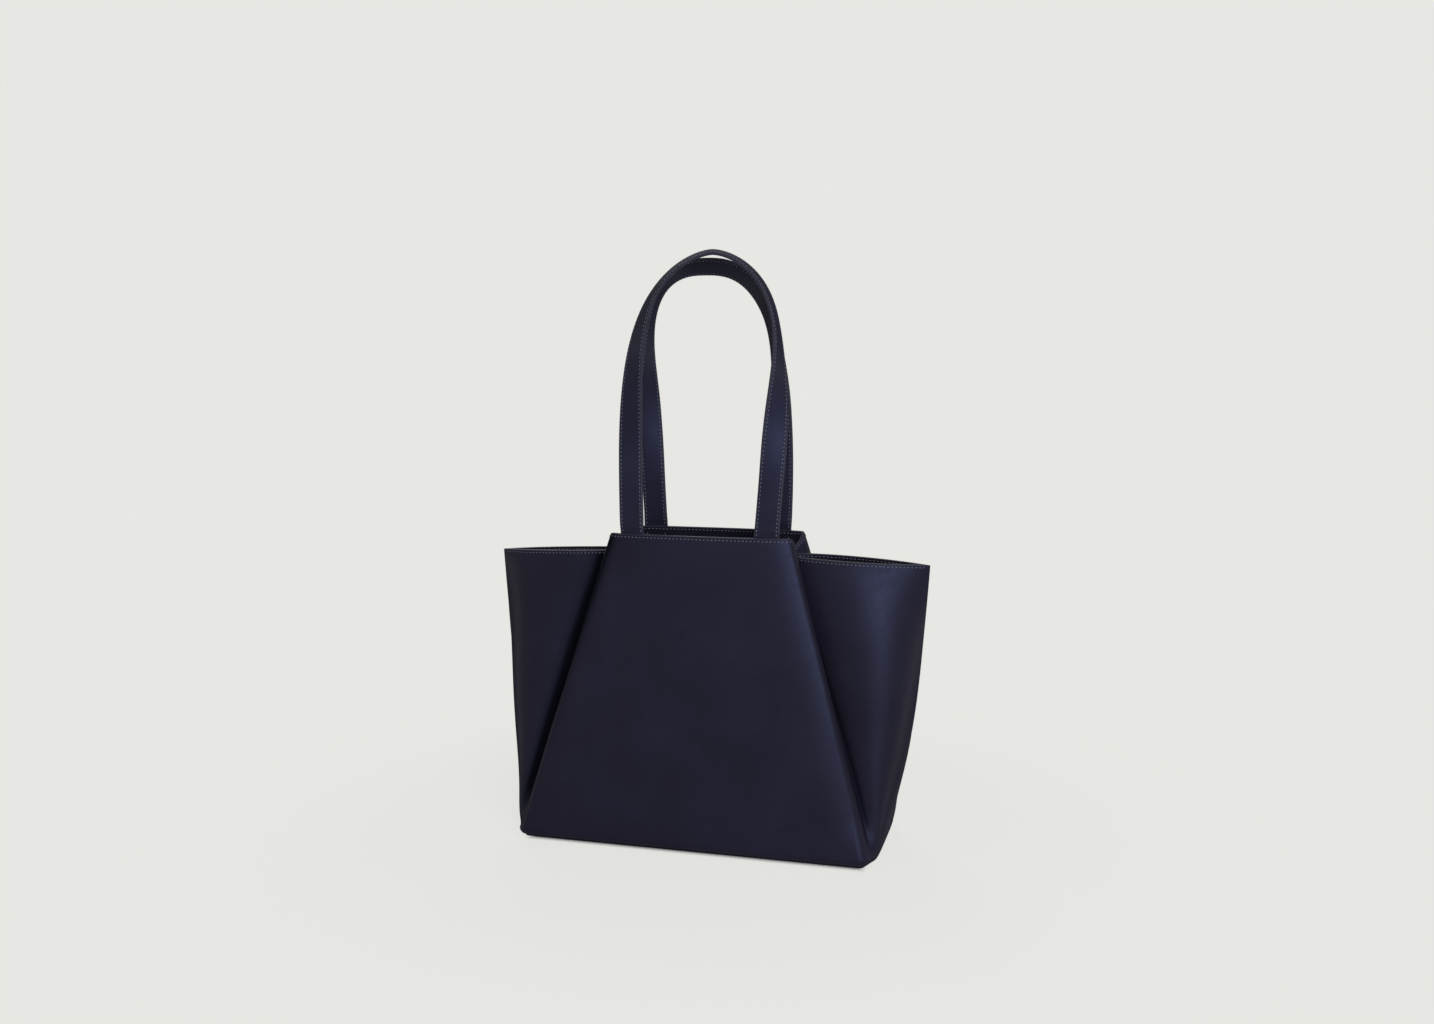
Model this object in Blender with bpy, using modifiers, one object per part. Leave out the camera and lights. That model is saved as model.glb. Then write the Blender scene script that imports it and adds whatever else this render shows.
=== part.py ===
# Leather tote bag: a tapering front and rear panel, folded side wings and two sewn strap handles.
# Metres, +Z up, front towards -Y, origin on the floor under the middle of the base.

import math

import bmesh
import bpy
import numpy as np
from mathutils import Matrix, Vector

# Body, measured on its outer surface
RIM_HEIGHT = 0.300
BASE_HALF_WIDTH = 0.1727
BASE_HALF_DEPTH = 0.0761
BASE_CORNER_RADIUS = 0.0106
BASE_CORNER_DEGREES = -16.7
BASE_SIDE_BOW = 0.0054
BASE_EDGE_RADIUS = 0.006
LIP_WIDTH = 0.004
PANEL_TOP_HALF_WIDTH = 0.0902
PANEL_TOP_HALF_DEPTH = 0.0352
PANEL_BOW = 0.003

# Folds, pleats and side wings
FOLD_RADIUS = 0.0075
FOLD_WRAP_DEGREES = 55
PLEAT_BASE_LENGTH = 0.0015
PLEAT_RIM_LENGTH = 0.014
VALLEY_LENGTH = 0.0035
WING_TIP_HALF_WIDTH = 0.215
WING_BELLY = 0.00825
WING_VALLEY_DEGREES = -25
WING_TIP_DEGREES = 27.5
WING_VALLEY_PULL = 0.0119
WING_VALLEY_RIM_PULL = 0.0293
WING_TIP_PULL = 0.0657
WING_TIP_RIM_PULL = 0.054
VALLEY_DROP = 0.0185
WING_TIP_DROP = 0.024

# How the section changes from base to rim, as powers of the level
FOLD_RADIUS_POWER = 3.4
FOLD_WRAP_POWER = 0.975
VALLEY_TURN_POWER = 11.39
TIP_FLARE_POWER = 1.252
TIP_TURN_POWER = 3.318
TIP_PULL_POWER = 0.238
SIDE_BOW_POWER = 13.5

# Layers of the wall, from outside to inside
CLEARANCE = 0.0003
SHELL_LEATHER = 0.0016
BAND_THICKNESS = 0.0008
FACING_THICKNESS = 0.0008
LINING_THICKNESS = 0.0006
POCKET_THICKNESS = 0.0008
FACING_HEIGHT = 0.038
STIFFENER_HEIGHT = 0.034
TAB_HEIGHT = 0.031
POCKET_HALF_WIDTH = 0.065
POCKET_DROP = 0.027
POCKET_HEIGHT = 0.125

# Base and feet
FOOT_HEIGHT = 0.004
FOOT_RADIUS = 0.006
FOOT_FACE_RADIUS = 0.0045
FOOT_POST_RADIUS = 0.0015
FOOT_SIDE_INSET = 0.0467
FOOT_FRONT_INSET = 0.0181
WASHER_RADIUS = 0.005
WASHER_THICKNESS = 0.0008
BASE_PANEL_THICKNESS = 0.0016
BOARD_THICKNESS = 0.002
BASE_LINING_THICKNESS = 0.0006
BASE_LINING_INSET = 0.0038

# Handles
STRAP_WIDTH = 0.024
STRAP_LEATHER = 0.00135
FRONT_FOLD_MARGIN = 0.0046
FRONT_RISE = 0.2678
FRONT_SWAY = 0.0063
REAR_FOLD_MARGIN = 0.0071
REAR_RISE = 0.2554
REAR_SWAY = -0.0094
SHOULDER_PLACE = 0.55
SWING_AXIS_HEIGHT = 0.0042
SWING_AXIS_OFFSET = 0.0034

# Mesh steps
WALL_LEVEL_SHARES = [0.04, 0.12, 0.26, 0.44, 0.62, 0.78, 0.94]
PANEL_STEPS = 3
FOLD_STEPS = 4
VALLEY_STEPS = 3
WING_STEPS = 8
EDGE_STEPS = 3
STRAP_STEPS = 38
CURVE_SAMPLES = 400
TURN_STEPS = 12
MERGE_DISTANCE = 0.00001
SHARP_DEGREES = 35

# Worked out from the sizes above
CUT_OVERRUN = BASE_HALF_DEPTH
SEAM_OVERRUN = 2 * (SHELL_LEATHER + BAND_THICKNESS + FACING_THICKNESS)
BASE_PANEL_TOP = FOOT_HEIGHT + BASE_PANEL_THICKNESS
SHELL_BOTTOM = BASE_PANEL_TOP + CLEARANCE
WALL_START = SHELL_BOTTOM + BASE_EDGE_RADIUS
WALL_HEIGHT = RIM_HEIGHT - WALL_START
BOARD_BOTTOM = SHELL_BOTTOM + SHELL_LEATHER + CLEARANCE
BOARD_TOP = BOARD_BOTTOM + BOARD_THICKNESS
WASHER_BOTTOM = BOARD_TOP + CLEARANCE
POST_TOP = WASHER_BOTTOM + WASHER_THICKNESS
BASE_LINING_BOTTOM = POST_TOP + CLEARANCE
BAND_DEPTH = SHELL_LEATHER + CLEARANCE
FACING_DEPTH = BAND_DEPTH + BAND_THICKNESS + CLEARANCE
LINING_DEPTH = BAND_DEPTH + CLEARANCE
POCKET_DEPTH = LINING_DEPTH + LINING_THICKNESS + CLEARANCE
STIFFENER_LEVEL = 1 - STIFFENER_HEIGHT / WALL_HEIGHT
FACING_LEVEL = 1 - FACING_HEIGHT / WALL_HEIGHT
LINING_TOP_LEVEL = STIFFENER_LEVEL - CLEARANCE / WALL_HEIGHT
FOOT_X = BASE_HALF_WIDTH - FOOT_SIDE_INSET
FOOT_Y = BASE_HALF_DEPTH - FOOT_FRONT_INSET
POCKET_TOP = RIM_HEIGHT - FACING_HEIGHT - POCKET_DROP
POCKET_BOTTOM = POCKET_TOP - POCKET_HEIGHT
STRAP_START = RIM_HEIGHT + CLEARANCE
HALF_STRAP = STRAP_WIDTH / 2

# The two straps hang and twist a little differently. Twist shares are places along half a strap.
# The shoulders are the bends at the left and right of the top, turned further than the top itself.
FRONT_HANDLE = {
    "name": "front_handle",
    "side": -1,
    "fold_margin": FRONT_FOLD_MARGIN,
    "rise": FRONT_RISE,
    "sway": FRONT_SWAY,
    "side_power": 1.63,
    "top_power": 6.13,
    "leg_draw_share": -0.11,
    "lean_degrees": 5.86,
    "top_turn_degrees": 77.2,
    "left_twist_shares": (0.23, 0.86),
    "right_twist_shares": (0.14, 0.68),
    "shoulder_turn_degrees": (0.0, 0.0),
    "yaw_degrees": 15.1,
}
REAR_HANDLE = {
    "name": "rear_handle",
    "side": 1,
    "fold_margin": REAR_FOLD_MARGIN,
    "rise": REAR_RISE,
    "sway": REAR_SWAY,
    "side_power": 2.517,
    "top_power": 5.548,
    "leg_draw_share": -0.081,
    "lean_degrees": 1.49,
    "top_turn_degrees": 50.2,
    "left_twist_shares": (0.376, 0.838),
    "right_twist_shares": (0.4, 0.747),
    "shoulder_turn_degrees": (47.2, 32.0),
    "yaw_degrees": 19.4,
}


def clear_scene():
    for item in list(bpy.data.objects):
        bpy.data.objects.remove(item, do_unlink=True)


def new_collection(name):
    collection = bpy.data.collections.new(name)
    bpy.context.scene.collection.children.link(collection)
    return collection


def new_material(name, colour, roughness, metallic=0.0):
    material = bpy.data.materials.new(name)
    material.use_nodes = True
    shader = material.node_tree.nodes["Principled BSDF"]
    shader.inputs["Base Color"].default_value = (*colour, 1)
    shader.inputs["Roughness"].default_value = roughness
    shader.inputs["Metallic"].default_value = metallic
    return material


def add_object(name, mesh, collection, colour=None, roughness=0.5, metallic=0.0):
    item = bpy.data.objects.new(name, mesh)
    collection.objects.link(item)
    if colour:
        mesh.materials.append(new_material(name, colour, roughness, metallic))
    return item


def mix(start, end, share):
    return start + (end - start) * share


def ease(share):
    share = min(max(share, 0.0), 1.0)
    return share * share * (3 - 2 * share)


# Wall section

def fold_edge(level):
    # How far the front fold stands from the middle plane, and the radius that it turns on.
    radius = mix(FOLD_RADIUS, BASE_CORNER_RADIUS, (1 - level) ** FOLD_RADIUS_POWER)
    return mix(BASE_HALF_WIDTH, PANEL_TOP_HALF_WIDTH, level), radius


def panel_half_depth(x, level):
    # The panel bows out a little between its folds, most at the rim.
    fold_x, radius = fold_edge(level)
    bow = PANEL_BOW * level * (1 - (x / (fold_x - radius)) ** 2)
    return mix(BASE_HALF_DEPTH, PANEL_TOP_HALF_DEPTH, level) + bow


def wall_section(level):
    # Outline from the middle of the front, round fold and pleat, to the tip of the right wing.
    fold_x, radius = fold_edge(level)
    flat_x = fold_x - radius
    points = []
    for step in range(PANEL_STEPS):
        x = flat_x * step / PANEL_STEPS
        points.append(Vector((x, -panel_half_depth(x, level))))
    centre = Vector((flat_x, radius - mix(BASE_HALF_DEPTH, PANEL_TOP_HALF_DEPTH, level)))
    wrap = mix(BASE_CORNER_DEGREES, FOLD_WRAP_DEGREES, level ** FOLD_WRAP_POWER)
    for step in range(FOLD_STEPS + 1):
        angle = math.radians(mix(-90, wrap, step / FOLD_STEPS))
        points.append(centre + radius * Vector((math.cos(angle), math.sin(angle))))
    # The pleat runs back inwards and turns round its valley into the wing
    pleat_heading = 90 + wrap
    wing_heading = mix(WING_VALLEY_DEGREES, 90 + BASE_CORNER_DEGREES, (1 - level) ** VALLEY_TURN_POWER)
    pleat = mix(PLEAT_BASE_LENGTH, PLEAT_RIM_LENGTH, level)
    points.append(points[-1] + pleat * heading(pleat_heading))
    for step in range(VALLEY_STEPS):
        turned = mix(pleat_heading, wing_heading, (step + 0.5) / VALLEY_STEPS)
        points.append(points[-1] + VALLEY_LENGTH / VALLEY_STEPS * heading(turned))
    return points + wing_outline(points[-1], wing_heading, level)


def heading(degrees):
    angle = math.radians(degrees)
    return Vector((math.cos(angle), math.sin(angle)))


def belly(level):
    # The wings swell out most a third of the way up, where this reaches 1.
    return 6.75 * level * (1 - level) ** 2


def wing_outline(start, start_heading, level):
    tip_x = mix(BASE_HALF_WIDTH, WING_TIP_HALF_WIDTH, 1 - (1 - level) ** TIP_FLARE_POWER)
    side_bow = BASE_SIDE_BOW * (1 - level) ** SIDE_BOW_POWER
    end = Vector((tip_x + WING_BELLY * belly(level) + side_bow, 0))
    end_heading = mix(90, WING_TIP_DEGREES, level ** TIP_TURN_POWER)
    start_pull = mix(WING_VALLEY_PULL, WING_VALLEY_RIM_PULL, level)
    end_pull = mix(WING_TIP_PULL, WING_TIP_RIM_PULL, level ** TIP_PULL_POWER)
    first = start + start_pull * heading(start_heading)
    second = end - end_pull * heading(end_heading)
    points = []
    for step in range(1, WING_STEPS + 1):
        share = step / WING_STEPS
        rest = 1 - share
        blend = rest ** 3 * start + 3 * rest ** 2 * share * first
        points.append(blend + 3 * rest * share ** 2 * second + share ** 3 * end)
    # The outline runs on past the seam, where the seam cutter trims every layer
    points.append(end + SEAM_OVERRUN * heading(end_heading))
    return points


def rim_drops():
    # How far the rim lies below the front panel's rim, at each point of the section.
    points = wall_section(1)
    reach = [0.0]
    for before, after in zip(points, points[1:]):
        reach.append(reach[-1] + (after - before).length)
    fold = PANEL_STEPS + FOLD_STEPS // 2
    valley = PANEL_STEPS + FOLD_STEPS + 1 + VALLEY_STEPS // 2
    drops = []
    for index, place in enumerate(reach):
        if index <= valley:
            share = ease((place - reach[fold]) / (reach[valley] - reach[fold]))
            drops.append(VALLEY_DROP * share)
        else:
            share = min((place - reach[valley]) / (reach[-2] - reach[valley]), 1)
            drops.append(mix(VALLEY_DROP, WING_TIP_DROP, share))
    return drops


def inset(points, depth):
    # Moves an outline inwards by a depth, with mitred corners.
    moved = []
    for index, point in enumerate(points):
        before = Vector((1, 0))
        if index > 0:
            before = (point - points[index - 1]).normalized()
        after = before
        if 0 < index < len(points) - 1:
            after = (points[index + 1] - point).normalized()
        along = (before + after).normalized()
        inwards = Vector((-along.y, along.x))
        moved.append(point + inwards * depth / along.dot(before))
    return moved


def wall_row(level, depth):
    outline = inset(wall_section(level), depth)
    row = []
    for point, drop in zip(outline, rim_drops()):
        row.append(Vector((point.x, point.y, WALL_START + (WALL_HEIGHT - drop) * level)))
    return row


def wall_levels(low, high):
    stops = WALL_LEVEL_SHARES + [FACING_LEVEL, STIFFENER_LEVEL]
    between = [level for level in stops if low < level < high]
    return [low] + sorted(between) + [high]


def base_edge_rows():
    # The turned-in lip and the rounded bottom edge, up to where the wall starts.
    outline = wall_section(0)
    rows = []
    lip = inset(outline, BASE_EDGE_RADIUS + LIP_WIDTH)
    rows.append([Vector((point.x, point.y, SHELL_BOTTOM)) for point in lip])
    for step in range(EDGE_STEPS):
        angle = math.pi / 2 * step / EDGE_STEPS
        ring = inset(outline, BASE_EDGE_RADIUS * (1 - math.sin(angle)))
        height = SHELL_BOTTOM + BASE_EDGE_RADIUS * (1 - math.cos(angle))
        rows.append([Vector((point.x, point.y, height)) for point in ring])
    return rows


def grid_mesh(name, rows):
    mesh = bpy.data.meshes.new(name)
    build = bmesh.new()
    placed = [[build.verts.new(point) for point in row] for row in rows]
    for lower, upper in zip(placed, placed[1:]):
        for index in range(len(lower) - 1):
            build.faces.new((lower[index], lower[index + 1], upper[index + 1]))
            build.faces.new((lower[index], upper[index + 1], upper[index]))
    build.to_mesh(mesh)
    build.free()
    mesh.shade_smooth()
    mesh.set_sharp_from_angle(angle=math.radians(SHARP_DEGREES))
    return mesh


# Modifiers and cutters

def solidify(item, thickness, offset=-1):
    modifier = item.modifiers.new("thickness", "SOLIDIFY")
    modifier.thickness = thickness
    modifier.offset = offset
    modifier.use_even_offset = True


def mirror(item):
    modifier = item.modifiers.new("mirror", "MIRROR")
    modifier.merge_threshold = MERGE_DISTANCE


def cut(item, cutter):
    modifier = item.modifiers.new("cut", "BOOLEAN")
    modifier.operation = "DIFFERENCE"
    modifier.object = cutter


def as_cutter(item):
    item.hide_render = True
    item.display_type = "WIRE"
    return item


def box_mesh(name, size):
    mesh = bpy.data.meshes.new(name)
    build = bmesh.new()
    bmesh.ops.create_cube(build, size=1)
    bmesh.ops.scale(build, verts=build.verts, vec=size)
    build.to_mesh(mesh)
    build.free()
    return mesh


def box_cutter(name, low, high, collection):
    low = Vector(low)
    high = Vector(high)
    item = add_object(name, box_mesh(name, high - low), collection)
    item.location = (low + high) / 2
    return as_cutter(item)


def seam_cutter(side, collection):
    # Trims a half of the bag just short of the middle plane, along its side seams.
    reach = WING_TIP_HALF_WIDTH + CUT_OVERRUN
    near = side * CLEARANCE / 2
    far = -side * BASE_HALF_DEPTH / 2
    low = (-reach, min(near, far), -CUT_OVERRUN)
    high = (reach, max(near, far), RIM_HEIGHT + CUT_OVERRUN)
    return box_cutter("seam_cutter_" + side_name(side), low, high, collection)


def side_name(side):
    return "front" if side < 0 else "rear"


# Shells, facings, linings and stiffeners

def wall_layer(name, rows, thickness, side, colour, roughness, parts, trim):
    item = add_object(name, grid_mesh(name, rows), parts, colour, roughness)
    if side > 0:
        item.rotation_euler.z = math.pi
    mirror(item)
    solidify(item, thickness)
    cut(item, trim)
    return item


def band_rows(depth, low, high):
    return [wall_row(level, depth) for level in wall_levels(low, high)]


def add_half(side, handle, parts, cutters):
    name = side_name(side)
    trim = seam_cutter(side, cutters)
    shell_rows = base_edge_rows() + band_rows(0, 0, 1)
    wall_layer(name + "_shell", shell_rows, SHELL_LEATHER, side, (0.016, 0.016, 0.026), 0.45, parts, trim)
    band = band_rows(BAND_DEPTH, STIFFENER_LEVEL, 1)
    stiffener = wall_layer(
        name + "_stiffener", band, BAND_THICKNESS, side, (0.05, 0.05, 0.05), 0.7, parts, trim)
    facing = band_rows(FACING_DEPTH, FACING_LEVEL, 1)
    wall_layer(name + "_facing", facing, FACING_THICKNESS, side, (0.014, 0.014, 0.02), 0.5, parts, trim)
    lining = band_rows(LINING_DEPTH, 0, LINING_TOP_LEVEL)
    wall_layer(name + "_lining", lining, LINING_THICKNESS, side, (0.006, 0.006, 0.008), 0.9, parts, trim)
    for end in (-1, 1):
        add_tab(handle, end, parts)
        cut(stiffener, tab_slot(handle, end, cutters))


def panel_patch(side, x_places, depth, low, high):
    # A flat-sided piece that lies along the panel, between two heights, at a depth in its wall.
    rows = []
    for height in (low, high):
        level = (height - WALL_START) / WALL_HEIGHT
        row = []
        for x in x_places:
            y = side * (panel_half_depth(x, level) - depth)
            row.append(Vector((-side * x, y, height)))
        rows.append(row)
    return rows


def add_slip_pocket(parts):
    places = [POCKET_HALF_WIDTH * share for share in (-1, -0.5, 0, 0.5, 1)]
    rows = panel_patch(1, places, POCKET_DEPTH, POCKET_BOTTOM, POCKET_TOP)
    item = add_object("slip_pocket", grid_mesh("slip_pocket", rows), parts, (0.014, 0.014, 0.02), 0.5)
    solidify(item, POCKET_THICKNESS)


# Handles

def root_x(handle):
    # Each strap enters the rim a margin short of the fold.
    fold_x, radius = fold_edge(1)
    return fold_x - radius - handle["fold_margin"] - HALF_STRAP


def root_y(handle):
    # The strap stands over its tab, between the shell and the facing.
    tab_middle = BAND_DEPTH + BAND_THICKNESS / 2
    return handle["side"] * (panel_half_depth(root_x(handle), 1) - tab_middle)


def root_yaw(handle):
    # The strap leaves the rim square to the bowed panel.
    edge = panel_half_depth(root_x(handle) + HALF_STRAP, 1)
    return math.atan2(panel_half_depth(root_x(handle) - HALF_STRAP, 1) - edge, STRAP_WIDTH)


def add_tab(handle, end, parts):
    name = handle["name"] + ("_left_tab" if end < 0 else "_right_tab")
    middle = -handle["side"] * end * root_x(handle)
    places = [middle - HALF_STRAP, middle + HALF_STRAP]
    rows = panel_patch(handle["side"], places, BAND_DEPTH, RIM_HEIGHT - TAB_HEIGHT, RIM_HEIGHT)
    item = add_object(name, grid_mesh(name, rows), parts, (0.02, 0.022, 0.034), 0.45)
    solidify(item, BAND_THICKNESS)


def tab_slot(handle, end, cutters):
    half = HALF_STRAP + CLEARANCE
    middle = end * root_x(handle)
    y = root_y(handle)
    low = (middle - half, y - HALF_STRAP, RIM_HEIGHT - TAB_HEIGHT - CLEARANCE)
    high = (middle + half, y + HALF_STRAP, RIM_HEIGHT + CUT_OVERRUN)
    name = handle["name"] + ("_left_slot" if end < 0 else "_right_slot")
    return box_cutter(name, low, high, cutters)


def strap_arch(handle):
    # The strap's middle line, flat in its own plane: places along it, across it and up it.
    across = []
    up = []
    half_span = root_x(handle) / (1 + handle["leg_draw_share"])
    for step in range(CURVE_SAMPLES + 1):
        angle = math.pi * ease(step / CURVE_SAMPLES)
        cosine = math.cos(angle)
        out = math.copysign(abs(cosine) ** (2 / handle["side_power"]), -cosine)
        height = abs(math.sin(angle)) ** (2 / handle["top_power"])
        draw = 1 + handle["leg_draw_share"] * (1 - height) ** 2
        across.append(half_span * out * draw + handle["sway"] * height ** 2)
        up.append(handle["rise"] * height)
    lengths = np.hypot(np.diff(across), np.diff(up))
    along = np.concatenate([[0], np.cumsum(lengths)])
    even = np.linspace(0, along[-1], STRAP_STEPS + 1)
    return even, np.interp(even, along, across), np.interp(even, along, up)


def strap_stations(handle):
    # Middle point, width direction and face direction at each step along a strap.
    side = handle["side"]
    even, across, up = strap_arch(handle)
    slopes = np.stack([np.gradient(across, even), np.zeros(len(even)), np.gradient(up, even)], 1)
    lean = Matrix.Rotation(math.radians(handle["lean_degrees"]) * side, 3, "X")
    root = Vector((0, root_y(handle), STRAP_START + CLEARANCE))
    stations = []
    for place, x, z, slope in zip(even / even[-1], across, up, slopes):
        tangent = Vector(slope).normalized()
        left = place < 0.5
        near = 2 * min(place, 1 - place)
        start, end = handle["left_twist_shares" if left else "right_twist_shares"]
        turned = ease((near - start) / (end - start))
        shoulder = ease(1 - abs(near - SHOULDER_PLACE) / (1 - SHOULDER_PLACE))
        turn = math.radians(handle["top_turn_degrees"]) * turned
        turn += math.radians(handle["shoulder_turn_degrees"][0 if left else 1]) * shoulder
        inwards = Vector((tangent.z, 0, -tangent.x * ease(near * handle["rise"] / STRAP_WIDTH / 2)))
        width = math.cos(turn) * inwards.normalized() + math.sin(turn) * Vector((0, side, 0))
        yaw = math.radians(handle["yaw_degrees"]) * turned
        yaw += root_yaw(handle) * (1 - turned) * side * (1 if left else -1)
        width = lean @ (Matrix.Rotation(yaw, 3, "Z") @ width)
        face = width.cross(lean @ tangent).normalized()
        stations.append((lean @ Vector((x, 0, z)) + root, width.normalized(), face))
    return stations


def add_strap(handle, name, face_side, swing, parts):
    rows = []
    for middle, width, face in strap_stations(handle):
        middle = middle + face * face_side * CLEARANCE / 2 - swing.location
        rows.append([middle - width * HALF_STRAP, middle + width * HALF_STRAP])
    item = add_object(name, grid_mesh(name, rows), parts, (0.02, 0.022, 0.034), 0.45)
    item.parent = swing
    solidify(item, STRAP_LEATHER, offset=face_side)


def add_handle(handle, parts):
    side = handle["side"]
    swing = bpy.data.objects.new(handle["name"] + "_swing", None)
    parts.objects.link(swing)
    axis_y = root_y(handle) + side * SWING_AXIS_OFFSET
    swing.location = (0, axis_y, STRAP_START + SWING_AXIS_HEIGHT)
    add_strap(handle, handle["name"], 1, swing, parts)
    add_strap(handle, handle["name"] + "_backing", -1, swing, parts)


# Base and feet

def base_plate(name, inset_by, bottom, thickness, colour, roughness, parts):
    # A plate with the outline of the base, drawn in all round.
    quarter = inset(wall_section(0)[:-1], inset_by)
    front = [Vector((-point.x, point.y)) for point in reversed(quarter[1:])] + quarter
    rear = [Vector((point.x, -point.y)) for point in reversed(front[1:-1])]
    mesh = bpy.data.meshes.new(name)
    build = bmesh.new()
    lower = [build.verts.new((point.x, point.y, 0)) for point in front + rear]
    upper = [build.verts.new((point.x, point.y, thickness)) for point in front + rear]
    build.faces.new(reversed(lower))
    build.faces.new(upper)
    for index in range(len(lower)):
        build.faces.new((lower[index - 1], lower[index], upper[index], upper[index - 1]))
    build.to_mesh(mesh)
    build.free()
    item = add_object(name, mesh, parts, colour, roughness)
    item.location.z = bottom
    return item


def cylinder_mesh(name, radius, height):
    mesh = bpy.data.meshes.new(name)
    build = bmesh.new()
    bmesh.ops.create_cone(
        build, cap_ends=True, segments=TURN_STEPS, radius1=radius, radius2=radius, depth=height)
    build.to_mesh(mesh)
    build.free()
    return mesh


def foot_profile():
    dome_start = FOOT_HEIGHT / 2
    head_top = FOOT_HEIGHT - CLEARANCE
    return [
        (0, POST_TOP),
        (FOOT_POST_RADIUS, POST_TOP),
        (FOOT_POST_RADIUS, head_top),
        (FOOT_RADIUS, head_top),
        (FOOT_RADIUS, dome_start),
        (FOOT_FACE_RADIUS, 0),
        (0, 0),
    ]


def add_foot(name, x, y, parts):
    mesh = bpy.data.meshes.new(name)
    build = bmesh.new()
    corners = [build.verts.new((radius, 0, height)) for radius, height in foot_profile()]
    for upper, lower in zip(corners, corners[1:]):
        build.edges.new((upper, lower))
    build.to_mesh(mesh)
    build.free()
    item = add_object(name, mesh, parts, (0.35, 0.35, 0.36), 0.3, metallic=1.0)
    item.location = (x, y, 0)
    turn = item.modifiers.new("turn", "SCREW")
    turn.steps = TURN_STEPS
    turn.render_steps = TURN_STEPS
    turn.use_merge_vertices = True
    turn.merge_threshold = MERGE_DISTANCE


def add_base(parts, cutters):
    inset_to_edge = BASE_EDGE_RADIUS
    panel = base_plate(
        "base_panel", inset_to_edge, FOOT_HEIGHT, BASE_PANEL_THICKNESS, (0.014, 0.014, 0.022), 0.5, parts)
    board = base_plate(
        "base_board", inset_to_edge, BOARD_BOTTOM, BOARD_THICKNESS, (0.12, 0.1, 0.08), 0.9, parts)
    base_plate(
        "base_lining", BASE_LINING_INSET, BASE_LINING_BOTTOM, BASE_LINING_THICKNESS,
        (0.006, 0.006, 0.008), 0.9, parts)
    hole = cylinder_mesh("foot_hole", FOOT_POST_RADIUS + CLEARANCE, POST_TOP + CUT_OVERRUN)
    for side in (-1, 1):
        for end in (-1, 1):
            place = side_name(side) + ("_left" if end < 0 else "_right")
            x = end * FOOT_X
            y = side * FOOT_Y
            add_foot("foot_" + place, x, y, parts)
            drill = as_cutter(add_object("foot_hole_" + place, hole, cutters))
            drill.location = (x, y, POST_TOP / 2)
            washer_mesh = cylinder_mesh("foot_washer_" + place, WASHER_RADIUS, WASHER_THICKNESS)
            washer = add_object(
                "foot_washer_" + place, washer_mesh, parts, (0.35, 0.35, 0.36), 0.4, metallic=1.0)
            washer.location = (x, y, WASHER_BOTTOM + WASHER_THICKNESS / 2)
            for item in (panel, board, washer):
                cut(item, drill)


def main():
    clear_scene()
    parts = new_collection("tote_bag")
    cutters = new_collection("cutters")
    add_half(-1, FRONT_HANDLE, parts, cutters)
    add_half(1, REAR_HANDLE, parts, cutters)
    add_slip_pocket(parts)
    add_base(parts, cutters)
    add_handle(FRONT_HANDLE, parts)
    add_handle(REAR_HANDLE, parts)


main()
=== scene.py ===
import math

import bmesh
import bpy
import numpy as np
from mathutils import Matrix, Vector, noise


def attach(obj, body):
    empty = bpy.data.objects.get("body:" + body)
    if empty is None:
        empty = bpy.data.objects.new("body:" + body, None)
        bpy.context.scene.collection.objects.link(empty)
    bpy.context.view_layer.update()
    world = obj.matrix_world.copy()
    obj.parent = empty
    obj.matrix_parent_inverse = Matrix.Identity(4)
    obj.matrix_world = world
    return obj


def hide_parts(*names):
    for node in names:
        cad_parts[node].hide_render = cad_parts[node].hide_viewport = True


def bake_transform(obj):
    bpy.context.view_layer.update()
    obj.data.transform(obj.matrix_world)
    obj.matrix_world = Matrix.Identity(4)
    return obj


# Leather tote with folded side wings and two sewn strap handles, dressed over its CAD frame.
# Metres, z up, the front towards -y.

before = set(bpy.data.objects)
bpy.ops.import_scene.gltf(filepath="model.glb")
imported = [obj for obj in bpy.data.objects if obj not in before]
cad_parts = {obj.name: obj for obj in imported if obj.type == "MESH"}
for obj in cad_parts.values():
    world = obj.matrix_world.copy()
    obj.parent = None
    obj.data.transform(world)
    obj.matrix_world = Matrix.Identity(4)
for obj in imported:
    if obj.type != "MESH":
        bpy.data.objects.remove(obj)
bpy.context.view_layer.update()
print("frame loaded, CAD nodes:", len(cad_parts))


# Small helpers

def fromHex(code):
    # sRGB hex to the linear colour that the shader takes
    parts = [int(code[i:i + 2], 16) / 255 for i in (1, 3, 5)]
    linear = [p / 12.92 if p <= 0.04045 else ((p + 0.055) / 1.055) ** 2.4 for p in parts]
    return (*linear, 1.0)


def mix(start, end, share):
    return start + (end - start) * share


def ease(share):
    share = min(max(share, 0.0), 1.0)
    return share * share * (3 - 2 * share)


def heading(degrees):
    angle = math.radians(degrees)
    return Vector((math.cos(angle), math.sin(angle)))


def runOf(points):
    # how far along its line each point lies
    run = [0.0]
    for before, after in zip(points, points[1:]):
        run.append(run[-1] + (after - before).length)
    return run


def gridCells(build, columns, rows):
    # the column and row of each vertex in a grid of size 1
    cells = {}
    for vert in build.verts:
        cells[vert] = (round((vert.co.x + 1) / 2 * columns), round((vert.co.y + 1) / 2 * rows))
    return cells


def closeUp(build):
    # fills what is still open and turns every face outwards
    bmesh.ops.holes_fill(build, edges=[edge for edge in build.edges if edge.is_boundary], sides=0)
    bmesh.ops.recalc_face_normals(build, faces=build.faces)


def addNode(tree, kind, settings=None, links=None):
    # settings are the node's own fields or its inputs, links go from another node's output
    node = tree.nodes.new(kind)
    for key, value in (settings or {}).items():
        if isinstance(key, str) and hasattr(node, key):
            setattr(node, key, value)
        else:
            node.inputs[key].default_value = value
    for key, output in (links or {}).items():
        tree.links.new(output, node.inputs[key])
    return node


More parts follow.
